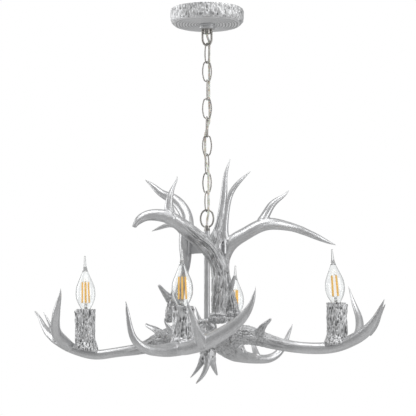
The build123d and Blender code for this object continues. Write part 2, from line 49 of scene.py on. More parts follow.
# ---- Camera -------------------------------------------------------------------------------
# Lens and sensor in millimetres, the place in metres, the upward tilt in degrees.
camera_lens_mm = 130.0
camera_place = (1.76 * mm, -2640 * mm, -628 * mm)
camera_tilt = 5.88
sensor_width_mm = 36.0
near_limit = 0.05

# ---- Sizes shared with the model, in millimetres -------------------------------------------
link_count = 9
link_pitch = 33.3
first_contact_z = -61.6
cable_radius = 2.0
cable_stub = 0.7
cable_stations = ((4.0, 4.5), (3.7, 4.2), (3.7, 4.2), (3.7, 4.2), (4.6, 3.9),
                  (-3.4, 4.4), (-3.4, 4.4), (2.5, -5.0), (2.5, -5.0), (2.5, -5.0))
# Each candle: the rim's middle, the rim's and the foot's height, and the bulb's lean in degrees.
candles = {
    "left": ((-213.0, 6.0), -534.5, -606.0, -1.5),
    "right": ((226.0, -7.0), -523.5, -595.0, -4.0),
    "front": ((-39.4, -205.0), -537.0, -602.0, -1.0),
    "back": ((52.0, 210.0), -538.5, -609.0, 1.0),
}
glass_wall = 0.7
glass_profile = ((6.9, -2.2), (9.4, 2.5), (13.5, 10.0), (16.4, 18.0), (17.5, 27.5), (16.0, 39.5),
                 (11.5, 51.0), (8.0, 59.0), (4.8, 67.0), (2.8, 75.5), (1.9, 84.5), (1.4, 93.6))
stem_profile = ((5.2, -2.0), (3.4, 0.5), (2.6, 3.5), (2.3, 6.5), (2.9, 8.2), (1.2, 9.6))
hollow_points = 9
filament_ring = 6.2
filament_radius = 1.45
wire_radius = 0.28
filament_foot = 11.5
filament_length = 36.0
filament_turns = {"left": 0.0, "right": 45.0, "front": 4.0, "back": 25.0}

# Sizes of the relief that is raised on the castings.
furrow_width = 3.4
furrow_length = 40.0
antler_voxel = 0.95
arm_groove_depth = 0.8
upper_groove_depth = 1.5
front_burr_radius = 15.4
pearl_size = 3.2
pearl_height = 0.8
ring_pitch = 5.2
ring_height = 0.55
canopy_voxel = 1.1
sleeve_voxel = 0.6
skin_smoothing = 2

# Every limb is a list of (x, y, z, radius) along its middle, from root to tip.
arm_limbs = {
    "left": {
        "beam": [(-20, 0, -576, 17.5), (-58, 4, -581, 17.5), (-88, 7, -593, 14.9),
                 (-112, 7, -602, 10.5), (-138, 6, -607, 8.9), (-166, 6, -611, 8.4),
                 (-194, 6, -614, 8.6), (-223, 9, -608, 8.9), (-247, 19, -598, 9.5),
                 (-268, 36, -586, 9.2), (-284, 56, -574, 7.2), (-295, 70, -560, 4.7),
                 (-304, 82, -545, 2.7), (-313, 90, -535, 0.8)],
        "brow": [(-77, 14, -585, 10.6), (-88, 26, -572, 6.2), (-99, 38, -566, 4.4),
                 (-109, 48, -560, 2.7)],
        "tall": [(-240, 12, -600, 8.6), (-255, -12, -586, 10.0), (-261, -38, -572, 8.6),
                 (-260, -56, -559, 7.5), (-257, -72, -544, 6.7), (-253, -84, -529, 4.9),
                 (-249, -94, -516, 2.7), (-247, -102, -503, 0.7)],
        "mid": [(-265, 26, -586, 7.1), (-274, 29, -569, 4.2), (-282, 32, -554, 2.5),
                (-291, 36, -538, 0.6)],
    },
    "right": {
        "beam": [(40, 0, -580, 17), (70, -4, -580, 16.6), (96, -6, -587, 12.8),
                 (124, -6, -595, 10.8), (157, -5, -601, 10.0), (194, -5, -603, 10.1),
                 (224, -9, -600, 10.1), (248, -22, -591, 10.4), (268, -38, -579, 10.5),
                 (282, -56, -564, 8.2), (292, -70, -545, 4.8), (298, -78, -530, 2.4),
                 (302, -84, -520, 0.6)],
        "brow": [(89, -12, -579, 9.0), (98, -30, -565, 5.2), (105, -42, -558, 3.4),
                 (110, -52, -553, 2.0)],
        "tall": [(243, -8, -594, 7.9), (260, 14, -586, 7.9), (270, 36, -572, 7.8),
                 (273, 56, -556, 7.2), (272, 72, -542, 6.1), (267, 86, -524, 4.5),
                 (262, 96, -505, 2.2), (258, 102, -489, 0.6)],
        "mid": [(277, -36, -577, 8.0), (288, -39, -565, 6.9), (296, -42, -550, 4.3),
                (302, -46, -538, 2.4), (307, -50, -527, 0.6)],
    },
    "front": {
        "beam": [(-4, -22, -580, 17.4), (-17, -75, -588, 17.0), (-32, -130, -595, 15.6),
                 (-43, -180, -602, 14.0), (-49, -212, -605, 12.6), (-62, -240, -608, 11.0),
                 (-79, -264, -609, 8.9), (-92, -280, -607, 8.3), (-104, -292, -601, 7.2),
                 (-113, -299, -591, 5.9), (-118, -304, -578, 4.8), (-121, -306, -564, 4.0),
                 (-123, -307, -551, 3.1), (-126, -308, -532, 0.6)],
        "brow": [(-40, -126, -594, 10.0), (-55, -134, -580, 6.3), (-64, -138, -569, 3.8),
                 (-71, -144, -558, 0.8)],
        "tall": [(-50, -226, -608, 9.6), (-27, -236, -604, 10.7), (-3, -246, -596, 12.4),
                 (21, -255, -584, 11.2), (42, -261, -570, 9.5), (57, -266, -556, 7.9),
                 (68, -269, -540, 5.2), (74, -270, -524, 2.8), (77, -271, -508, 0.6)],
        "mid": [(-8, -250, -598, 9.6), (-13, -264, -585, 7.9), (-18, -274, -570, 5.7),
                (-23, -282, -554, 3.9), (-28, -288, -541, 2.3), (-31, -292, -530, 0.6)],
    },
    "back": {
        "beam": [(6, 24, -583, 17), (24, 80, -594, 16.4), (40, 140, -605, 15.4),
                 (54, 200, -612, 14.2), (76, 236, -618, 11.0), (100, 256, -621, 8.7),
                 (118, 268, -620, 8.3), (132, 276, -614, 7.7), (144, 282, -602, 6.8),
                 (152, 286, -588, 5.2), (158, 289, -573, 3.7), (163, 290, -561, 2.1),
                 (166, 291, -553, 0.7)],
        "brow": [(40, 122, -603, 9.6), (61, 125, -588, 6.2), (72, 121, -578, 4.2),
                 (82, 116, -570, 2.4)],
        "tall": [(69, 222, -615, 9.2), (52, 240, -608, 9.9), (26, 256, -592, 8.6),
                 (2, 264, -571, 6.7), (-14, 268, -546, 4.2), (-24, 270, -519, 0.7)],
        "mid": [(96, 250, -618, 7.6), (92, 268, -603, 5.4), (88, 280, -586, 3.6),
                (86, 290, -566, 0.7)],
    },
}
upper_limbs = {
    "front": {
        "stem": [(19, -46, -557, 13.6), (20, -45, -544, 11.6), (21, -45, -527, 13.4),
                 (23, -45, -510, 15.2), (23, -44, -489, 15.0), (22, -43, -468, 14.6),
                 (17, -43, -451, 14.2), (7, -46, -435, 14.7), (-6, -50, -422, 14.2),
                 (-17, -54, -413, 13.1), (-34, -61, -400, 12.6), (-52, -70, -387, 11.9),
                 (-70, -79, -379, 11.0), (-87, -87, -377, 10.2), (-102, -94, -379, 8.9),
                 (-114, -100, -386, 7.2), (-121, -104, -393, 5.6), (-123, -106, -399, 4.4)],
        "tine_a": [(9, -46, -427, 12.1), (16, -45, -409, 9.1), (21, -43, -392, 7.1),
                   (26, -39, -364, 6.3), (30, -35, -330, 5.8), (33, -31, -299, 3.4),
                   (37, -28, -284, 1.9), (41, -25, -271, 0.6)],
        "tine_c": [(-63, -74, -378, 10.4), (-65, -73, -364, 8.0), (-63, -70, -342, 5.4),
                   (-59, -67, -329, 3.4), (-54, -64, -318, 1.9), (-52, -62, -307, 0.6)],
        "brow": [(31, -44, -511, 6.9), (41, -48, -499, 4.7), (45, -52, -488, 3.4),
                 (48, -55, -478, 1.6)],
    },
    "right": {
        "stem": [(44, 34, -547, 13.3), (42, 32, -525, 12.4), (35, 29, -496, 10.6),
                 (30, 28, -470, 10.1), (29, 28, -450, 10.6), (33, 28, -433, 12.1),
                 (43, 29, -417, 12.4), (55, 31, -407, 12.1), (70, 34, -398, 11.6),
                 (91, 39, -386, 11.6), (112, 46, -380, 11.1), (133, 54, -381, 9.5),
                 (155, 62, -385, 7.7), (179, 68, -393, 6.7), (203, 74, -403, 5.4),
                 (220, 80, -410, 3.1), (234, 84, -415, 0.7)],
        "tine_a": [(34, 28, -422, 10.7), (31, 29, -400, 7.8), (32, 30, -377, 6.6),
                   (36, 32, -349, 5.7), (44, 34, -324, 4.8), (57, 36, -306, 3.9),
                   (68, 38, -295, 2.2), (79, 40, -285, 0.6)],
        "tine_c": [(97, 42, -379, 8.9), (108, 46, -359, 7.7), (118, 48, -344, 6.3),
                   (129, 50, -335, 4.5), (139, 52, -328, 2.7), (147, 54, -318, 0.6)],
        "brow": [(38, 31, -511, 6.9), (29, 40, -499, 4.9), (24, 48, -489, 3.5),
                 (20, 55, -479, 1.8)],
    },
    "left": {
        "stem": [(-57, 34, -556, 16.4), (-57, 30, -539, 16.2), (-53, 26, -512, 13.3),
                 (-45, 23, -487, 8.9), (-40, 21, -466, 7.6), (-38, 21, -448, 9.4),
                 (-38, 22, -433, 11.0), (-40, 23, -418, 9.8), (-37, 27, -398, 12.0),
                 (-35, 33, -381, 11.4), (-40, 42, -360, 11.1), (-52, 52, -342, 10.5),
                 (-66, 60, -331, 9.0), (-80, 67, -324, 7.3), (-97, 74, -309, 4.9),
                 (-113, 80, -296, 0.7)],
        "tine_l": [(-39, 29, -396, 9.8), (-56, 40, -383, 6.3), (-70, 49, -382, 4.3),
                   (-84, 56, -386, 3.4), (-100, 62, -392, 0.7)],
        "brow": [(-61, 27, -521, 8.9), (-71, 25, -510, 5.9), (-79, 23, -500, 4.4),
                 (-86, 21, -491, 2.1)],
    },
}

# ---- Noise -------------------------------------------------------------------------------
def scramble(cell, seed):
    """A repeatable number from 0 to 1 for each whole-numbered cell."""
    mix = cell[:, 0] * 73856093 ^ cell[:, 1] * 19349663 ^ cell[:, 2] * 83492791 ^ (seed * 2654435761)
    mix = (mix ^ (mix >> 13)) * 1274126177
    mix = (mix ^ (mix >> 16)) & 0xFFFFFF
    return mix / float(0xFFFFFF)


def smooth_noise(points, seed=0):
    """Value noise from -1 to 1 with rounded hills, one unit apart."""
    base = np.floor(points).astype(np.int64)
    part = points - base
    part = part * part * part * (part * (part * 6 - 15) + 10)
    total = np.zeros(len(points))
    for corner in range(8):
        step = np.array([corner & 1, corner >> 1 & 1, corner >> 2 & 1])
        weight = np.prod(np.where(step == 1, part, 1 - part), axis=1)
        total += weight * scramble(base + step, seed)
    return total * 2 - 1


def layered_noise(points, layers=3, seed=0):
    """Noise with finer and finer hills added."""
    total = np.zeros(len(points))
    for layer in range(layers):
        total += smooth_noise(points * 2.03**layer, seed + layer) * 0.5**layer
    return total / (2 - 0.5 ** (layers - 1))


def pearls(points, seed=0):
    """Rounded beads: 1 in the middle of each bead, 0 in the seams between them."""
    base = np.floor(points).astype(np.int64)
    nearest = np.full(len(points), 9.0)
    for i in range(27):
        cell = base + np.array([i % 3 - 1, i // 3 % 3 - 1, i // 9 - 1])
        spot = np.stack([scramble(cell, seed + k) for k in (1, 2, 3)], axis=1)
        nearest = np.minimum(nearest, ((cell + spot - points) ** 2).sum(axis=1))
    return np.clip(1 - nearest / 0.6, 0, 1)


def fade(value, low, high):
    """0 below low, 1 above high, and smooth between."""
    part = np.clip((value - low) / (high - low), 0, 1)
    return part * part * (3 - 2 * part)


# ---- Meshes ------------------------------------------------------------------------------
def add_object(name, mesh):
    """A new object in the scene for a mesh."""
    piece = bpy.data.objects.new(name, mesh)
    bpy.context.scene.collection.objects.link(piece)
    return piece


def applied(piece):
    """The piece's mesh with its modifiers applied."""
    graph = bpy.context.evaluated_depsgraph_get()
    mesh = bpy.data.meshes.new_from_object(piece.evaluated_get(graph))
    piece.modifiers.clear()
    piece.data = mesh
    return mesh


def recast(node, name, voxel, smoothing):
    """A closed, evenly meshed copy of a CAD node, ready for relief."""
    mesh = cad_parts[node].data.copy()
    piece = add_object(name, mesh)
    remesh = piece.modifiers.new("remesh", "REMESH")
    remesh.mode = "VOXEL"
    remesh.voxel_size = voxel * mm
    soften = piece.modifiers.new("soften", "SMOOTH")
    soften.factor = 0.5
    soften.iterations = smoothing
    applied(piece)
    return piece


def points_of(mesh):
    """The mesh's points in millimetres, and its normals."""
    places = np.empty(len(mesh.vertices) * 3, np.float32)
    mesh.vertices.foreach_get("co", places)
    normals = np.empty(len(mesh.vertices) * 3, np.float32)
    mesh.vertices.foreach_get("normal", normals)
    return places.reshape(-1, 3).astype(float) / mm, normals.reshape(-1, 3).astype(float)


def raise_relief(piece, height, relief_shade, coarse, grain=None):
    """Moves each point out by height, and keeps the painted shade, coarseness and grain for the material."""
    mesh = piece.data
    places, normals = points_of(mesh)
    places += normals * height[:, None]
    mesh.vertices.foreach_set("co", (places * mm).astype(np.float32).ravel())
    for name, values in (("relief_shade", relief_shade), ("coarse", coarse)):
        layer = mesh.attributes.new(name, "FLOAT", "POINT")
        layer.data.foreach_set("value", values.astype(np.float32))
    if grain is not None:
        layer = mesh.attributes.new("grain", "FLOAT_VECTOR", "POINT")
        layer.data.foreach_set("vector", grain.astype(np.float32).ravel())
    mesh.polygons.foreach_set("use_smooth", np.ones(len(mesh.polygons), bool))
    mesh.update()


# ---- Node materials ------------------------------------------------------------------------
class Shader:
    """A small helper that adds nodes and links them."""

    def __init__(self, name):
        self.material = bpy.data.materials.new(name)
        self.material.use_nodes = True
        self.tree = self.material.node_tree
        self.surface = self.tree.nodes["Principled BSDF"]

    def node(self, kind, inputs=None, **settings):
        made = self.tree.nodes.new(kind)
        for key, value in settings.items():
            setattr(made, key, value)
        for key, value in (inputs or {}).items():
            self.put(made.inputs[key], value)
        return made

    def put(self, socket, value):
        if hasattr(value, "links"):
            self.tree.links.new(value, socket)
        else:
            socket.default_value = value

    def set(self, **inputs):
        for key, value in inputs.items():
            self.put(self.surface.inputs[key.replace("_", " ")], value)

    def attribute(self, name, output="Fac"):
        return self.node("ShaderNodeAttribute", attribute_name=name).outputs[output]

    def place(self, scale=(1, 1, 1)):
        coordinates = self.node("ShaderNodeTexCoord").outputs["Object"]
        return self.node("ShaderNodeMapping", {"Vector": coordinates, "Scale": scale}).outputs["Vector"]

    def noise(self, vector, scale, detail=4.0, rough=0.55):
        made = self.node("ShaderNodeTexNoise",
                         {"Vector": vector, "Scale": scale, "Detail": detail, "Roughness": rough})
        return made.outputs["Fac"]

    def ramp(self, value, stops):
        made = self.node("ShaderNodeValToRGB", {"Fac": value})
        elements = made.color_ramp.elements
        while len(elements) < len(stops):
            elements.new(0.5)
        for element, (position, colour) in zip(elements, stops):
            element.position = position
            level = colour if isinstance(colour, tuple) else (colour, colour, colour)
            element.color = (*level, 1)
        return made.outputs["Color"]

    def math(self, operation, first, second=0.0):
        made = self.node("ShaderNodeMath", operation=operation)
        self.put(made.inputs[0], first)
        self.put(made.inputs[1], second)
        return made.outputs[0]

    def mix(self, factor, first, second):
        made = self.node("ShaderNodeMix", data_type="RGBA")
        self.put(made.inputs[0], factor)
        self.put(made.inputs[6], first)
        self.put(made.inputs[7], second)
        return made.outputs[2]

    def bump(self, height, strength, distance, under=None):
        inputs = {"Height": height, "Strength": strength, "Distance": distance}
        if under is not None:
            inputs["Normal"] = under
        return self.node("ShaderNodeBump", inputs).outputs["Normal"]


def silver_cast(name, bright, shade_colour, rough):
    """Silver paint over cast resin with a fine grain: plain pale silver on the ridges, and painted shade in
    the grooves and the seams between the pearls.
    """
    shader = Shader(name)
    relief_shade = shader.attribute("relief_shade")
    coarse = shader.attribute("coarse")
    clouds = shader.noise(shader.place(), 30.0, 4.0)
    tint = shader.ramp(clouds, [(0.3, tuple(0.86 * c for c in bright)), (0.7, bright)])
    # Painted shade: the colour runs from the dark shade colour in the grooves and seams up to the bright
    # silver on the ridges.
    shade_mix = shader.ramp(relief_shade, [(0.1, 0.0), (0.5, 0.7), (0.85, 1.0)])
    colour = shader.mix(shade_mix, (*shade_colour, 1), tint)
    speck = shader.ramp(shader.noise(shader.place(), 620.0, 3.0), [(0.35, 0.8), (0.65, 1.0)])
    made = shader.node("ShaderNodeMix", data_type="RGBA", blend_type="MULTIPLY")
    made.inputs[0].default_value = 1.0
    shader.put(made.inputs[6], colour)
    shader.put(made.inputs[7], speck)
    strands = shader.noise(shader.attribute("grain", "Vector"), 0.62, 4.0)
    fibres = shader.bump(strands, shader.ramp(coarse, [(0.1, 0.3), (0.7, 1.0)]), 0.0011)
    paint = shader.bump(shader.noise(shader.place(), 700.0, 3.0), 0.3, 0.0004, fibres)
    sheen = shader.ramp(coarse, [(0.0, rough), (1.0, rough + 0.16)])
    shader.set(Base_Color=made.outputs[2], Metallic=metal_share, Roughness=sheen, Normal=paint)
    return shader.material


def bark_cast(name, bright, shade_colour):
    """Silver-painted bark: crusty ridges over pits, with painted shade in the pits."""
    shader = Shader(name)
    relief_shade = shader.attribute("relief_shade")
    # Painted shade: darkest in the pits, paler up onto the crust.
    tint = shader.ramp(relief_shade, [(0.12, shade_colour), (0.42, tuple(0.62 * c for c in bright)), (0.8, bright)])
    crust = shader.noise(shader.place((1, 1, 0.5)), 500.0, 5.0, 0.65)
    grains = shader.bump(crust, 0.7, 0.0006)
    paint = shader.bump(shader.noise(shader.place(), 1300.0, 2.0), 0.2, 0.0002, grains)
    sheen = shader.ramp(crust, [(0.3, 0.34), (0.7, 0.55)])
    shader.set(Base_Color=tint, Metallic=metal_share, Roughness=sheen, Normal=paint)
    return shader.material


def plated(name, bright, metallic, rough, scratch_scale, streak=(1, 1, 1)):
    """Turned or drawn metal with fine streaks and faint clouding."""
    shader = Shader(name)
    clouds = shader.noise(shader.place(), 60.0, 3.0)
    tint = shader.ramp(clouds, [(0.3, tuple(0.86 * c for c in bright)), (0.7, bright)])
    streaks = shader.noise(shader.place(streak), scratch_scale, 4.0)
    sheen = shader.ramp(streaks, [(0.3, rough * 0.75), (0.7, rough * 1.35)])
    lines = shader.bump(streaks, 0.12, 0.0002)
    shader.set(Base_Color=tint, Metallic=metallic, Roughness=sheen, Normal=lines)
    return shader.material


def moulded(name, bright, rough, scale):
    """Moulded plastic with a faint orange-peel skin."""
    shader = Shader(name)
    clouds = shader.noise(shader.place(), 90.0, 3.0)
    tint = shader.ramp(clouds, [(0.35, tuple(0.9 * c for c in bright)), (0.65, bright)])
    skin = shader.noise(shader.place(), scale, 2.0)
    shader.set(Base_Color=tint, Roughness=shader.ramp(clouds, [(0.3, rough), (0.7, rough + 0.1)]),
               Normal=shader.bump(skin, 0.1, 0.0002))
    return shader.material


def clear_glass(name, bright, rough):
    """Clear blown glass, faintly clouded."""
    shader = Shader(name)
    clouds = shader.noise(shader.place((1, 1, 0.4)), 60.0, 3.0)
    tint = shader.ramp(clouds, [(0.3, tuple(0.97 * c for c in bright)), (0.7, bright)])
    haze = shader.ramp(clouds, [(0.3, rough), (0.7, rough + 0.02)])
    shader.set(Base_Color=tint, Roughness=haze, IOR=1.45, Transmission_Weight=1.0)
    return shader.material


def sheath(name):
    """The cable's clear creamy sheath over its twisted cores."""
    shader = Shader(name)
    twist = shader.node("ShaderNodeTexWave", {"Vector": shader.place((1, 1, 1)), "Scale": 45.0,
                                              "Distortion": 1.5, "Detail": 1.0})
    twist.bands_direction = "DIAGONAL"
    tint = shader.ramp(twist.outputs["Fac"], [(0.2, (0.66, 0.63, 0.55)), (0.8, (0.84, 0.82, 0.76))])
    shader.set(Base_Color=tint, Roughness=0.22, Subsurface_Weight=0.15, Coat_Weight=0.4,
               Coat_Roughness=0.08, Normal=shader.bump(twist.outputs["Fac"], 0.1, 0.0002))
    return shader.material


def glowing_filament_coat(name):
    """The amber coating of a filament, paler in patches, with a faint painted glow in place of the lamp
    light that the glass shell blocks.
    """
    shader = Shader(name)
    clouds = shader.noise(shader.place(), 700.0, 3.0)
    tint = shader.ramp(clouds, [(0.3, (0.94, 0.52, 0.09)), (0.7, (1.0, 0.66, 0.20))])
    # Painted light: the emission makes the unlit filament glow faintly.
    shader.set(Base_Color=tint, Roughness=0.5, Normal=shader.bump(clouds, 0.2, 0.0002),
               Emission_Color=tint, Emission_Strength=0.4)
    return shader.material


metal_share = 0.7
bright_silver = (0.80, 0.805, 0.815)
# The darker colour given to each cast is painted shade for its grooves, seams and pits.
groove_shade_silver = (0.32, 0.322, 0.328)
antler_silver = silver_cast("antler_silver", bright_silver, groove_shade_silver, 0.29)
bark_silver = bark_cast("bark_silver", (0.84, 0.845, 0.855), (0.15, 0.152, 0.156))
nickel = plated("nickel", (0.50, 0.485, 0.46), 1.0, 0.22, 260.0, (1, 1, 0.3))
silver_metal = plated("silver_metal", (0.66, 0.665, 0.675), metal_share, 0.4, 320.0, (1, 1, 0.06))
zinc = plated("zinc", (0.56, 0.56, 0.57), 1.0, 0.34, 240.0)
terminal_plastic = moulded("terminal_plastic", (0.82, 0.80, 0.74), 0.5, 600.0)
socket_plastic = moulded("socket_plastic", (0.70, 0.69, 0.66), 0.42, 700.0)
cap_metal = plated("cap_metal", (0.66, 0.64, 0.60), 1.0, 0.3, 300.0, (0.2, 0.2, 1))
bulb_glass = clear_glass("bulb_glass", (0.97, 0.98, 0.98), 0.0)
stem_glass = clear_glass("stem_glass", (0.93, 0.94, 0.94), 0.04)
cable_sheath = sheath("cable_sheath")
amber = glowing_filament_coat("amber")


def dress(material, *nodes):
    """Gives CAD nodes their material."""
    for node in nodes:
        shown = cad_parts[node]
        shown.data.materials.clear()
        shown.data.materials.append(material)


# ---- Antlers -------------------------------------------------------------------------------
def centre_line(points):
    """Close places, travelled distance and radius along a limb, on one smooth curve."""
    rows = np.array(points, float)
    ends = np.vstack([2 * rows[0] - rows[1], rows, 2 * rows[-1] - rows[-2]])
    samples = []
    for i in range(1, len(ends) - 2):
        before, here, there, after = ends[i - 1:i + 3]
        for t in np.linspace(0, 1, 9)[:-1]:
            bend = 2 * here + (there - before) * t
            bend = bend + (2 * before - 5 * here + 4 * there - after) * t**2
            samples.append((bend + (3 * here - before - 3 * there + after) * t**3) / 2)
    samples.append(rows[-1])
    line = np.array(samples)
    steps = np.linalg.norm(np.diff(line[:, :3], axis=0), axis=1)
    return line[:, :3], np.concatenate([[0], np.cumsum(steps)]), np.maximum(line[:, 3], 0.5)


def limb_grid(places, points):
    """For each place: how far off the limb's skin, how far along it, and its place round it."""
    line, travelled, radii = centre_line(points)
    ways = np.gradient(line, axis=0)
    ways /= np.linalg.norm(ways, axis=1)[:, None]
    sides = np.empty_like(ways)
    side = np.array([0.3, 1.0, 0.2])
    for i, way in enumerate(ways):
        side = side - way * side.dot(way)
        side = side / np.linalg.norm(side)
        sides[i] = side
    gaps = places[:, None, :] - line[None, :, :]
    nearest = (np.linalg.norm(gaps, axis=2) / radii[None, :] ** 0.5).argmin(axis=1)
    off = places - line[nearest]
    way = ways[nearest]
    side = sides[nearest]
    other = np.cross(way, side)
    ahead = (off * way).sum(axis=1)
    u = (off * side).sum(axis=1)
    v = (off * other).sum(axis=1)
    reach = np.maximum(np.hypot(u, v), 0.01)
    radius = radii[nearest]
    off_skin = np.linalg.norm(off, axis=1) / radius
    round_it = np.stack([u / reach * radius, v / reach * radius], axis=1)
    return off_skin, travelled[nearest] + ahead, round_it, radius


def furrows(round_it, along, seed):
    """Long ridges and grooves that wander up a limb: 1 on a ridge, -1 in a groove."""
    swerve = smooth_noise(np.column_stack([round_it / 16.0, along / 34.0]), seed + 9)
    spots = np.column_stack([round_it / furrow_width, along / furrow_length])
    spots += swerve[:, None] * (0.9, 0.9, 0.0)
    broad = 1 - np.abs(smooth_noise(spots, seed)) * 3.2
    narrow = 1 - np.abs(smooth_noise(spots * (2.4, 2.4, 1.4), seed + 20)) * 3.2
    crumbs = layered_noise(spots * (3.2, 3.2, 5.0), 2, seed + 30)
    return np.clip(0.26 * broad + 0.56 * narrow + 0.30 * crumbs, -1, 1)


def antler_piece(node, limbs, coarse_to, groove_to, seed, groove_depth, burr_radius=0.0):
    """A cast antler: pearled burr, long grooves that fade out, and smooth tines."""
    piece = recast(node, node + "_cast", antler_voxel, skin_smoothing)
    places, _ = points_of(piece.data)
    weights = np.zeros(len(places))
    height = np.zeros(len(places))
    relief_shade = np.zeros(len(places))
    coarse = np.zeros(len(places))
    grain = np.zeros((len(places), 3))
    pearl = pearls(places / pearl_size, seed)
    lumps = layered_noise(places / 8.0, 2, seed + 5)
    beads = np.clip(pearl * 1.5 + lumps * 0.5 - 0.75, -1, 1)
    for k, (limb_name, points) in enumerate(limbs.items()):
        off_skin, along, round_it, radius = limb_grid(places, points)
        rugged = 1 - fade(along, *coarse_to.get(limb_name, (-2, -1)))
        lined = 1 - fade(along, *groove_to.get(limb_name, (-2, -1)))
        lines = furrows(round_it, along, seed + k)
        limit = np.clip(radius / 9.0, 0.25, 1.0)
        carved = lined * lines * groove_depth + rugged * (beads * pearl_height)
        weight = np.exp(-6 * np.clip(off_skin - 0.8, 0, 3))
        weights += weight
        height += weight * carved * limit
        if limb_name == "stem":
            short = np.clip(burr_radius - off_skin * radius, 0, 3.5)
            height += weight * short * fade(along, -3, 0) * (1 - fade(along, 11, 13.5))
        # Painted shade: dark in the grooves and in the seams between the pearls, pale on the ridges; where
        # the grooves fade out of the shape, faint stripes of the same painted shade stay on the smooth skin.
        faint = 0.72 + 0.18 * lines * (1 - lined)
        marks = np.clip(0.5 + 0.5 * np.where(rugged > 0.5, 0.5 * beads + 0.5 * lines * lined, lines), 0, 1)
        both = np.maximum(rugged, lined)
        relief_shade += weight * (faint + (marks - faint) * both)
        coarse += weight * both
        grain += weight[:, None] * np.column_stack([round_it, along / 7.0])
    relief_shade = np.clip(relief_shade / weights, 0, 1)
    coarse = np.clip(coarse / weights, 0, 1)
    raise_relief(piece, height / weights, relief_shade, coarse, grain / weights[:, None])
    piece.data.materials.clear()
    piece.data.materials.append(antler_silver)
    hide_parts(node)
    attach(piece, "lamp")
    return piece


# How far up each limb the pearling and the grooves fade out, from and to, in millimetres.
arm_coarse = {
    "left": {"beam": (55, 100), "brow": (8, 26)},
    "right": {"beam": (45, 90), "brow": (12, 34)},
    "front": {"beam": (70, 120), "brow": (0, 8)},
    "back": {"beam": (80, 130), "brow": (10, 24)},
}
arm_grooves = {
    "left": {"beam": (90, 150), "brow": (20, 34)},
    "right": {"beam": (70, 140), "brow": (20, 40)},
    "front": {"beam": (100, 170), "brow": (0, 14)},
    "back": {"beam": (110, 170), "brow": (14, 30)},
}
for number, (name, limbs) in enumerate(arm_limbs.items()):
    antler_piece(f"arm_{name}", limbs, arm_coarse[name], arm_grooves[name], 31 + 7 * number,
                 arm_groove_depth)

upper_coarse = {
    "front": {"stem": (8, 26), "brow": (2, 10)},
    "right": {"stem": (14, 40), "brow": (4, 14)},
    "left": {"stem": (50, 90), "brow": (10, 24)},
}
upper_grooves = {
    "front": {"stem": (165, 215), "tine_a": (30, 80), "tine_c": (0, 20), "brow": (14, 30)},
    "right": {"stem": (70, 130), "tine_a": (0, 20), "brow": (16, 30)},
    "left": {"stem": (70, 120), "brow": (18, 34)},
}
for number, (name, limbs) in enumerate(upper_limbs.items()):
    node = f"upper_antler_{name}"
    burr_radius = front_burr_radius if name == "front" else 0.0
    antler_piece(node, limbs, upper_coarse[name], upper_grooves[name], 71 + 9 * number,
                 upper_groove_depth, burr_radius)


# ---- Finial, hub, sleeves and canopy --------------------------------------------------------
def bark_height(places, size, stretch, seed):
    """Crusty bark: raised plates with cracks between them, stretched up the grain."""
    spots = places / (size, size, size * stretch)
    bent = spots + 0.5 * smooth_noise(spots * 0.6, seed + 3)[:, None]
    plates = 1 - np.abs(smooth_noise(bent, seed)) * 2.6
    crumbs = layered_noise(spots * (2.3, 2.3, 1.7), 2, seed + 7)
    return np.clip(np.clip(plates, -1, 1) * 0.42 + crumbs * 0.95, -1.2, 1.1)


def bark_piece(node, body, material, voxel, size, stretch, amount, seed, keep=None):
    """A cast piece covered in raised bark with painted shade in its cracks, except where keep says that it
    stays smooth.
    """
    piece = recast(node, node + "_cast", voxel, skin_smoothing)
    places, normals = points_of(piece.data)
    bark = bark_height(places, size, stretch, seed)
    cover = np.ones(len(places)) if keep is None else keep(places, normals)
    # Painted shade: the colour darkens in the bark's cracks and low spots.
    relief_shade = np.clip(0.5 + 0.5 * bark * cover, 0, 1)
    knots = np.clip(smooth_noise(places / (7, 7, 9), seed + 40), 0, 1)
    raise_relief(piece, (bark + knots * 1.2) * amount * cover, relief_shade, cover)
    piece.data.materials.clear()
    piece.data.materials.append(material)
    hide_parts(node)
    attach(piece, body)
    return piece


for number, name in enumerate(candles):
    (x, y), rim_z, _, _ = candles[name]

    def outside(places, normals):
        """Full bark on the outer skin, little on the rim and in the bore."""
        away = np.hypot(places[:, 0] - x, places[:, 1] - y)
        return fade(away, 12.6, 14.5) * fade(rim_z - places[:, 2], -0.5, 1.0) + 0.25

    bark_piece(f"candle_sleeve_{name}", "lamp", bark_silver, sleeve_voxel, 2.7, 3.0, 0.8,
               number * 13 + 5, outside)

bark_piece("hub", "lamp", bark_silver, 1.0, 5.0, 1.6, 0.7, 91)


def finial_cover(places, normals):
    """Bark on the finial's body that fades out down its tines."""
    return 1 - fade(-places[:, 2], 616, 640)


bark_piece("finial", "lamp", bark_silver, 0.9, 4.6, 1.4, 0.8, 97, finial_cover)


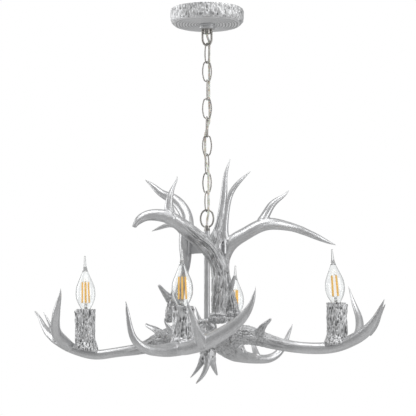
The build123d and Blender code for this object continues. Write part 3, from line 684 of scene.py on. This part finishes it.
def canopy_piece():
    """The canopy: a slice of trunk, bark round its edge and growth rings underneath."""
    piece = recast("canopy", "canopy_cast", canopy_voxel, skin_smoothing)
    places, normals = points_of(piece.data)
    away = np.hypot(places[:, 0], places[:, 1])
    turn = np.arctan2(places[:, 1], places[:, 0])
    side = fade(away, 59.5, 63.0) * fade(-places[:, 2], 0.2, 1.2)
    under = fade(-normals[:, 2], 0.75, 0.95) * fade(-places[:, 2], 25.5, 26.3)
    bark = bark_height(places, 3.6, 2.0, 3)
    plates = smooth_noise(np.column_stack([turn * 7, places[:, 2] / 40, away * 0]), 8)
    outward = bark * 1.0 + np.abs(plates) * 1.4 - 1.3
    wander = layered_noise(places / 26.0, 2, 12) * 2.4
    rings = np.sin((away + wander) * 2 * math.pi / ring_pitch)
    height = side * outward + (1 - side) * under * (rings - 0.4) * ring_height
    # Painted shade in the bark's pits round the side and in the ring grooves underneath, with a painted
    # highlight on the ring crests.
    relief_shade = np.clip(0.62 + side * 0.5 * bark + (1 - side) * under * rings * 0.3, 0, 1)
    raise_relief(piece, height, relief_shade, side)
    piece.data.materials.clear()
    piece.data.materials.append(bark_silver)
    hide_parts("canopy")
    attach(piece, "canopy")


canopy_piece()

# ---- Metal and plastic parts that keep their CAD shape ----------------------------------------
dress(silver_metal, "canopy_collar", "centre_tube", "upper_bracket")
dress(nickel, "canopy_loop", "lamp_ring", "ring_nut")
dress(nickel, *[f"chain_link_{i}" for i in range(1, link_count + 1)])
dress(zinc, "ceiling_bar", "lug_screws", "hub_studs")
dress(terminal_plastic, "terminal_block")
dress(socket_plastic, *[f"lamp_socket_{name}" for name in candles])
dress(cable_sheath, "supply_cable", "lamp_cable")
dress(cap_metal, *[f"bulb_{name}_cap" for name in candles])


# ---- Cable beside the chain ---------------------------------------------------------------------
def tube_mesh(name, places, radius, sides=14):
    """A closed round tube along places, both in metres."""
    line = np.array(places, float)
    ways = np.gradient(line, axis=0)
    ways /= np.linalg.norm(ways, axis=1)[:, None]
    side = np.array([1.0, 0.3, 0.1])
    corners = []
    for place, way in zip(line, ways):
        side = side - way * side.dot(way)
        side /= np.linalg.norm(side)
        other = np.cross(way, side)
        for k in range(sides):
            turn = 2 * math.pi * k / sides
            corners.append(place + radius * (math.cos(turn) * side + math.sin(turn) * other))
    faces = []
    for ring in range(len(line) - 1):
        low = ring * sides
        for k in range(sides):
            after = (k + 1) % sides
            faces.append((low + k, low + after, low + sides + after, low + sides + k))
    faces.append(tuple(range(sides - 1, -1, -1)))
    top = (len(line) - 1) * sides
    faces.append(tuple(range(top, top + sides)))
    mesh = bpy.data.meshes.new(name)
    mesh.from_pydata([tuple(corner) for corner in corners], [], faces)
    mesh.polygons.foreach_set("use_smooth", [len(face) == 4 for face in faces])
    return mesh


def contact_z(i):
    """The height at which link i + 1 hangs on the one above it."""
    return first_contact_z - i * link_pitch


def cable_run(start, end, count=13):
    """Places along the cable from one station to the next, upright at both."""
    (x0, y0), z0 = start
    (x1, y1), z1 = end
    places = []
    for t in np.linspace(0, 1, count):
        slide = t * t * (3 - 2 * t)
        places.append((x0 + (x1 - x0) * slide, y0 + (y1 - y0) * slide, z0 + (z1 - z0) * t))
    return places


runs = []
for i in range(link_count):
    above = (cable_stations[i], contact_z(i))
    below = (cable_stations[i + 1], contact_z(i + 1))
    runs.append(cable_run(above, below))
first, last = cable_stations[0], cable_stations[link_count]
first_run = cable_run((first, contact_z(0) + cable_stub), (first, contact_z(0)), 3)
last_run = cable_run((last, contact_z(link_count)), (last, contact_z(link_count) - cable_stub), 3)
halves = [first_run] + runs + [last_run]
for i in range(link_count + 1):
    upper = halves[i][len(halves[i]) // 2:]
    lower = halves[i + 1][:len(halves[i + 1]) // 2 + 1]
    line = np.array(upper[:-1] + lower) * mm
    name = f"cable_over_joint_{i + 1}"
    piece = add_object(name, tube_mesh(name, line, cable_radius * mm))
    piece.data.materials.append(cable_sheath)
    if i < link_count:
        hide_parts(f"chain_cable_{i + 1}")
    x, y = cable_stations[i]
    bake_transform(piece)


# ---- Bulbs ---------------------------------------------------------------------------------
def joined(name, meshes):
    """One mesh from several."""
    total = bpy.data.meshes.new(name)
    corners, faces, count = [], [], 0
    for mesh in meshes:
        corners += [tuple(v.co) for v in mesh.vertices]
        faces += [tuple(i + count for i in polygon.vertices) for polygon in mesh.polygons]
        count += len(mesh.vertices)
        bpy.data.meshes.remove(mesh)
    total.from_pydata(corners, [], faces)
    total.polygons.foreach_set("use_smooth", [len(face) == 4 for face in faces])
    return total


def turned(name, outline, sides=56):
    """A closed mesh turned about Z from an outline of (radius, height), both in millimetres."""
    corners, faces = [], []
    for radius, height in outline:
        for k in range(sides):
            turn = 2 * math.pi * k / sides
            corners.append((radius * math.cos(turn), radius * math.sin(turn), height))
    count = len(outline)
    for ring in range(count - 1):
        for k in range(sides):
            after = (k + 1) % sides
            low, high = ring * sides, (ring + 1) * sides
            faces.append((low + k, low + after, high + after, high + k))
    faces.append(tuple(range(sides - 1, -1, -1)))
    faces.append(tuple(range((count - 1) * sides, count * sides)))
    mesh = bpy.data.meshes.new(name)
    mesh.from_pydata([tuple(v * mm for v in corner) for corner in corners], [], faces)
    mesh.polygons.foreach_set("use_smooth", [len(face) == 4 for face in faces])
    return mesh


def smooth_outline(points):
    """A rounded outline through (radius, height) points."""
    rows = np.array([(radius, height, 0.0, 1.0) for radius, height in points])
    line, _, _ = centre_line(rows)
    return [(max(place[0], 0.05), place[1]) for place in line]


def bulb_shell(name):
    """The blown envelope: outer skin up to the drawn-out tail, then the inner skin back down."""
    outer = smooth_outline(glass_profile)
    hollow_part = glass_profile[:hollow_points]
    inner = smooth_outline([(radius - glass_wall, height) for radius, height in hollow_part])
    top = inner[-1][1] + 1.2
    outline = outer + [(0.4, outer[-1][1] + 0.3)]
    skin = turned(name, outline)
    hollow = turned(name + "_hollow", inner + [(0.4, top)])
    flipped = hollow.copy()
    flipped.flip_normals()
    bpy.data.meshes.remove(hollow)
    return joined(name, [skin, flipped])


for name, ((x, y), rim_z, _, lean) in candles.items():
    place = Matrix.Translation((x * mm, y * mm, rim_z * mm)) @ Matrix.Rotation(math.radians(lean), 4, "Y")
    rods, wires = [], []
    for k in range(4):
        turn = math.radians(filament_turns[name] + 90 * k)
        foot = Vector((math.cos(turn), math.sin(turn), 0)) * filament_ring
        low = foot + Vector((0, 0, filament_foot))
        high = foot * 0.86 + Vector((0, 0, filament_foot + filament_length))
        line = [low.lerp(high, t) for t in (0, 0.02, 0.5, 0.98, 1)]
        rods.append(tube_mesh("rod", [np.array(p) * mm for p in line], filament_radius * mm, 12))
        wire = [Vector((0, 0, 7)), Vector((0, 0, 9)), low * 0.55 + Vector((0, 0, 4.6)), low]
        wires.append(tube_mesh("wire", [np.array(p) * mm for p in wire], wire_radius * mm, 8))
        arch = [high, high * 0.99 + Vector((0, 0, 1.2)), Vector((0, 0, high.z + 1.6))]
        wires.append(tube_mesh("wire", [np.array(p) * mm for p in arch], wire_radius * mm, 8))
    amber_rods = add_object(f"bulb_{name}_rods", joined(f"bulb_{name}_rods", rods))
    amber_rods.data.materials.append(amber)
    stem_piece = add_object(f"bulb_{name}_stem", turned(f"bulb_{name}_stem", smooth_outline(stem_profile)))
    stem_piece.data.materials.append(stem_glass)
    wire_piece = add_object(f"bulb_{name}_wires", joined(f"bulb_{name}_wires", wires))
    wire_piece.data.materials.append(cap_metal)
    glass_piece = add_object(f"bulb_{name}_envelope", bulb_shell(f"bulb_{name}_envelope"))
    glass_piece.data.materials.append(bulb_glass)
    for piece in (amber_rods, stem_piece, wire_piece, glass_piece):
        piece.data.transform(place)
        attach(piece, f"bulb_{name}")
    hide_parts(f"bulb_{name}_filaments")
    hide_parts(f"bulb_{name}_glass")


# ---- Camera, floor and light -----------------------------------------------------------------
scene = bpy.context.scene
scene.view_settings.view_transform = "Standard"
lens = bpy.data.cameras.new("camera")
lens.lens = camera_lens_mm
lens.sensor_width = sensor_width_mm
lens.clip_start = near_limit
camera = bpy.data.objects.new("camera", lens)
camera.location = camera_place
camera.rotation_euler = (math.radians(90 + camera_tilt), 0, 0)
scene.collection.objects.link(camera)
scene.camera = camera


def area_light(name, place, target, size, power):
    """A soft rectangular lamp aimed at a point."""
    data = bpy.data.lights.new(name, "AREA")
    data.shape = "RECTANGLE"
    data.size, data.size_y = size
    data.energy = power
    lamp = bpy.data.objects.new(name, data)
    lamp.location = place
    lamp.rotation_euler = (Vector(target) - Vector(place)).to_track_quat("-Z", "Y").to_euler()
    scene.collection.objects.link(lamp)


middle = (0, 0, -0.5)
area_light("overhead", (0.1, -0.5, 1.1), middle, (1.8, 1.3), 17)
area_light("right_box", (1.9, -0.9, 0.0), middle, (0.9, 1.7), 12)
area_light("left_box", (-1.8, 0.5, -0.1), middle, (1.0, 1.7), 11)

floor_z = -1.9
floor_glow = 0.42
fade_from, fade_to = 1.2, 6.0
reach = 14.0
floor_mesh = bpy.data.meshes.new("floor")
floor_mesh.from_pydata([(-reach, -reach, 0), (reach, -reach, 0), (reach, reach, 0), (-reach, reach, 0)],
                       [], [(0, 1, 2, 3)])
floor = add_object("floor", floor_mesh)
floor.location = (0, 0, floor_z)
paint = Shader("floor_paint")
seen = paint.node("ShaderNodeLightPath").outputs["Is Camera Ray"]
# The floor is pale under the lamp and runs out into the white backdrop.
away = paint.node("ShaderNodeVectorMath", {"Vector": paint.place()}, operation="LENGTH").outputs["Value"]
pale = paint.node("ShaderNodeMapRange", {"Value": away, "From Min": fade_from, "From Max": fade_to,
                                         "To Min": floor_glow, "To Max": 1.0},
                  interpolation_type="SMOOTHSTEP")
paint.set(Base_Color=(0.8, 0.8, 0.8, 1), Roughness=0.7, Emission_Color=(1, 1, 1, 1),
          Emission_Strength=paint.math("MULTIPLY", seen, pale.outputs[0]))
floor.data.materials.append(paint.material)

world = bpy.data.worlds.new("studio")
world.use_nodes = True
scene.world = world
tree = world.node_tree


def world_node(kind, first=None, second=None, **settings):
    """A node of the world, with links or values on its first two inputs."""
    made = tree.nodes.new(kind)
    for key, value in settings.items():
        setattr(made, key, value)
    for socket, value in zip(made.inputs, (first, second)):
        if hasattr(value, "links"):
            tree.links.new(value, socket)
        elif value is not None:
            socket.default_value = value
    return made


backdrop_edge, backdrop_full = 0.90, 0.97
room_low, room_high, room_light = 0.24, 0.5, 0.5
path = world_node("ShaderNodeLightPath")
where = world_node("ShaderNodeSeparateXYZ", world_node("ShaderNodeTexCoord").outputs["Generated"])
# The backdrop is white behind the object; the room round it is dim and paler towards the ceiling.
behind = world_node("ShaderNodeMapRange", where.outputs["Y"], backdrop_edge, interpolation_type="SMOOTHSTEP")
behind.inputs["From Max"].default_value = backdrop_full
above = world_node("ShaderNodeMapRange", where.outputs["Z"], -0.5)
above.inputs["From Max"].default_value = 0.9
above.inputs["To Min"].default_value = room_low
above.inputs["To Max"].default_value = room_high
room = world_node("ShaderNodeMath", behind.outputs[0], above.outputs[0], operation="MAXIMUM")
mirrored = world_node("ShaderNodeMath", path.outputs["Is Glossy Ray"], path.outputs["Is Transmission Ray"],
                      operation="MAXIMUM")
level = world_node("ShaderNodeMix", mirrored.outputs[0])
level.inputs[2].default_value = room_light
tree.links.new(room.outputs[0], level.inputs[3])
shown = world_node("ShaderNodeMix", path.outputs["Is Camera Ray"])
tree.links.new(level.outputs[0], shown.inputs[2])
shown.inputs[3].default_value = 1.0
plain = tree.nodes["Background"]
tree.links.new(shown.outputs[0], plain.inputs["Strength"])
plain.inputs["Color"].default_value = (1, 1, 1, 1)
